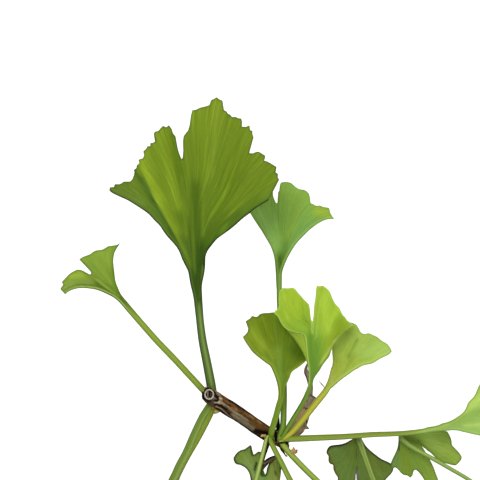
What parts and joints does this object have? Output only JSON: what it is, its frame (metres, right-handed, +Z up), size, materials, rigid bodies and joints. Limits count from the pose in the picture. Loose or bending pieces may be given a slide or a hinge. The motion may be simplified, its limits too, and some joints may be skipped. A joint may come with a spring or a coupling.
{
  "type": "ginkgo bonsai",
  "caption": "Small ginkgo bonsai: fan-shaped, notched leaves on long stalks, a slim trunk with spreading branches and a pruned twig at the top, in a round clay pot filled with soil.",
  "frame": {"origin": "on the ground, under the middle of the whole tree and pot", "axes": "+Z up, -Y towards the side that the picture shows"},
  "size_m": [0.231, 0.183, 0.3165],
  "materials": {
    "clay": "matte",
    "screen": "matte",
    "soil": "matte",
    "bark": "matte",
    "leaf": "satin"
  },
  "bodies": {
    "root": {"pot": "clay", "drain_screen": "screen", "soil": "soil", "tree_wood": "bark", "leaves_main_spur": "leaf", "leaves_twig_end": "leaf", "leaves_trunk_spur": "leaf", "leaves_right_spur": "leaf", "leaves_right_tip": "leaf", "leaves_left_spur": "leaf", "leaves_left_tip": "leaf", "leaves_back_tip": "leaf", "leaves_front_tip": "leaf", "leaves_upper_left": "leaf", "leaves_right_back": "leaf"}
  },
  "joints": []
}
